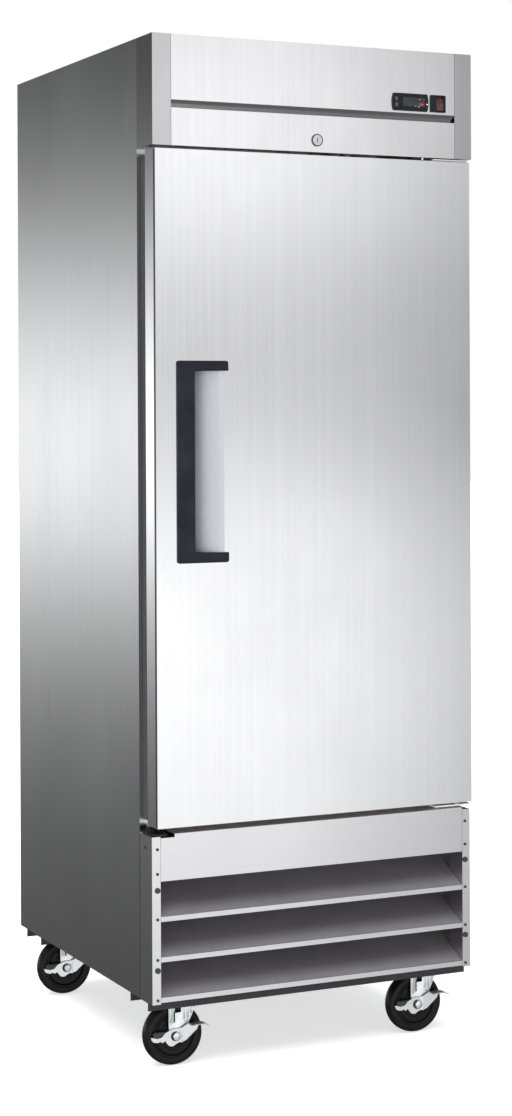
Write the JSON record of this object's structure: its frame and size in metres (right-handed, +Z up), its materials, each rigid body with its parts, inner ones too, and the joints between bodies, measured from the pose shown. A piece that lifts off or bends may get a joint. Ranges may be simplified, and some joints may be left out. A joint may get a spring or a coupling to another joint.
{
  "type": "reach-in refrigerator",
  "caption": "Upright commercial reach-in refrigerator with a solid hinged door, louvred base grille, header controls with a lock, and braked swivel casters.",
  "frame": {"origin": "on the floor, below the middle of the object", "axes": "+X to the right seen from the front, +Y from the door to the back panel, +Z up"},
  "size_m": [0.7326, 0.808, 2.071],
  "materials": {
    "stainless_outer": "fine vertical satin grain",
    "galvanised_sheet": "dull zinc-coated sheet",
    "breaker_plastic": "matte extrusion",
    "stainless_liner": "bright satin",
    "foam": "rigid polyurethane foam",
    "black_paint": "satin black",
    "black_plastic": "fine texture",
    "grey_key": "matte",
    "red_rocker": "gloss, translucent when lit",
    "lock_chrome": "polished",
    "gasket_rubber": "matte",
    "handle_steel": "fine satin",
    "hinge_steel": "satin",
    "nylon": "matte",
    "grille_steel": "fine satin grain along the width",
    "fastener_black": "satin black",
    "shelf_hardware": "satin",
    "shelf_coating": "grey epoxy coating",
    "lamp_diffuser": "frosted",
    "evaporator_aluminium": "mill finish",
    "fan_plastic": "matte",
    "motor_paint": "semi-gloss black",
    "copper": "copper tube, lightly tarnished",
    "inlet_plastic": "matte",
    "zinc": "bright zinc plating",
    "caster_tyre": "matte rubber tread",
    "brake_steel": "satin blue-grey"
  },
  "bodies": {
    "cabinet": {"back_panel": "galvanised_sheet", "base_frame": "galvanised_sheet", "bottom_hinge_plate": "hinge_steel", "breaker_frame": "breaker_plastic", "cabinet_insulation": "foam", "caster_plates": "zinc", "caster_rails": "black_paint", "compressor": "motor_paint", "condenser_coil": "evaporator_aluminium", "evaporator_coil": "evaporator_aluminium", "evaporator_cover": "evaporator_aluminium", "fan_motors": "motor_paint", "floor_pan": "galvanised_sheet", "grille_fascia": "grille_steel", "grille_fasteners": "fastener_black", "grille_louvres": "grille_steel", "grille_posts": "grille_steel", "header_end_caps": "stainless_outer", "header_panel": "stainless_outer", "hinge_hole_cover": "black_paint", "inner_liner": "stainless_liner", "interior_lamp": "lamp_diffuser", "left_side_panel": "stainless_outer", "lock_barrel": "lock_chrome", "power_inlet": "inlet_plastic", "rear_cover": "galvanised_sheet", "refrigerant_tubing": "copper", "right_side_panel": "stainless_outer", "shelf_clips": "shelf_hardware", "shelf_standards": "shelf_hardware", "switch_housing": "black_plastic", "thermostat_body": "black_plastic", "top_hinge_plate": "hinge_steel", "top_panel": "stainless_outer", "wire_shelves": "shelf_coating"},
    "door": {"door_skin": "stainless_outer", "door_liner": "stainless_liner", "door_insulation": "foam", "door_gasket": "gasket_rubber", "handle_frame": "black_plastic", "handle_plate": "handle_steel", "hinge_bushings": "nylon"},
    "lock_plug": {"lock_plug": "lock_chrome"},
    "switch_rocker": {"switch_rocker": "red_rocker"},
    "set_key": {"thermostat_set_key": "grey_key"},
    "arrow_key": {"thermostat_arrow_key": "grey_key"},
    "evaporator_fan": {"evaporator_fan": "fan_plastic"},
    "condenser_fan": {"condenser_fan": "fan_plastic"},
    "front_left_fork": {"front_left_fork": "zinc"},
    "front_left_wheel": {"front_left_wheel": "caster_tyre"},
    "front_left_brake": {"front_left_brake": "brake_steel"},
    "front_right_fork": {"front_right_fork": "zinc"},
    "front_right_wheel": {"front_right_wheel": "caster_tyre"},
    "front_right_brake": {"front_right_brake": "brake_steel"},
    "rear_left_fork": {"rear_left_fork": "zinc"},
    "rear_left_wheel": {"rear_left_wheel": "caster_tyre"},
    "rear_left_brake": {"rear_left_brake": "brake_steel"},
    "rear_right_fork": {"rear_right_fork": "zinc"},
    "rear_right_wheel": {"rear_right_wheel": "caster_tyre"},
    "rear_right_brake": {"rear_right_brake": "brake_steel"}
  },
  "joints": [
    {"name": "door_hinge", "type": "hinge", "parent": "cabinet", "child": "door", "pos_m": [0.3315, -0.378, 1.169], "axis": [0, 0, 1], "range_deg": [0, 120]},
    {"name": "lock_turn", "type": "hinge", "parent": "cabinet", "child": "lock_plug", "pos_m": [0, -0.371, 1.874], "axis": [0, 1, 0], "range_deg": [0, 90]},
    {"name": "rocker_tip", "type": "hinge", "parent": "cabinet", "child": "switch_rocker", "pos_m": [0.2872, -0.397, 1.963], "axis": [1, 0, 0], "range_deg": [0, 16]},
    {"name": "set_key_press", "type": "slide", "parent": "cabinet", "child": "set_key", "axis": [0, 1, 0], "range_m": [0, 0.0008], "stiffness_N_per_m": 300},
    {"name": "arrow_key_press", "type": "slide", "parent": "cabinet", "child": "arrow_key", "axis": [0, 1, 0], "range_m": [0, 0.0008], "stiffness_N_per_m": 300},
    {"name": "evaporator_fan_spin", "type": "hinge", "parent": "cabinet", "child": "evaporator_fan", "pos_m": [0, -0.138, 1.859], "axis": [0, 0, 1], "continuous": true},
    {"name": "condenser_fan_spin", "type": "hinge", "parent": "cabinet", "child": "condenser_fan", "pos_m": [0.09, -0.106, 0.2815], "axis": [0, 1, 0], "continuous": true},
    {"name": "front_left_swivel", "type": "hinge", "parent": "cabinet", "child": "front_left_fork", "pos_m": [-0.2785, -0.308, 0.1375], "axis": [0, 0, 1], "continuous": true},
    {"name": "front_left_roll", "type": "hinge", "parent": "front_left_fork", "child": "front_left_wheel", "pos_m": [-0.2925, -0.308, 0.0625], "axis": [0, 1, 0], "continuous": true},
    {"name": "front_left_brake_press", "type": "hinge", "parent": "front_left_fork", "child": "front_left_brake", "pos_m": [-0.2925, -0.308, 0.0625], "axis": [0, 1, 0], "range_deg": [0, 15]},
    {"name": "front_right_swivel", "type": "hinge", "parent": "cabinet", "child": "front_right_fork", "pos_m": [0.2785, -0.308, 0.1375], "axis": [0, 0, 1], "continuous": true},
    {"name": "front_right_roll", "type": "hinge", "parent": "front_right_fork", "child": "front_right_wheel", "pos_m": [0.2645, -0.308, 0.0625], "axis": [0, 1, 0], "continuous": true},
    {"name": "front_right_brake_press", "type": "hinge", "parent": "front_right_fork", "child": "front_right_brake", "pos_m": [0.2645, -0.308, 0.0625], "axis": [0, 1, 0], "range_deg": [0, 15]},
    {"name": "rear_left_swivel", "type": "hinge", "parent": "cabinet", "child": "rear_left_fork", "pos_m": [-0.2785, 0.317, 0.1375], "axis": [0, 0, 1], "continuous": true},
    {"name": "rear_left_roll", "type": "hinge", "parent": "rear_left_fork", "child": "rear_left_wheel", "pos_m": [-0.2925, 0.317, 0.0625], "axis": [0, 1, 0], "continuous": true},
    {"name": "rear_left_brake_press", "type": "hinge", "parent": "rear_left_fork", "child": "rear_left_brake", "pos_m": [-0.2925, 0.317, 0.0625], "axis": [0, 1, 0], "range_deg": [0, 15]},
    {"name": "rear_right_swivel", "type": "hinge", "parent": "cabinet", "child": "rear_right_fork", "pos_m": [0.2785, 0.317, 0.1375], "axis": [0, 0, 1], "continuous": true},
    {"name": "rear_right_roll", "type": "hinge", "parent": "rear_right_fork", "child": "rear_right_wheel", "pos_m": [0.2645, 0.317, 0.0625], "axis": [0, 1, 0], "continuous": true},
    {"name": "rear_right_brake_press", "type": "hinge", "parent": "rear_right_fork", "child": "rear_right_brake", "pos_m": [0.2645, 0.317, 0.0625], "axis": [0, 1, 0], "range_deg": [0, 15]}
  ]
}
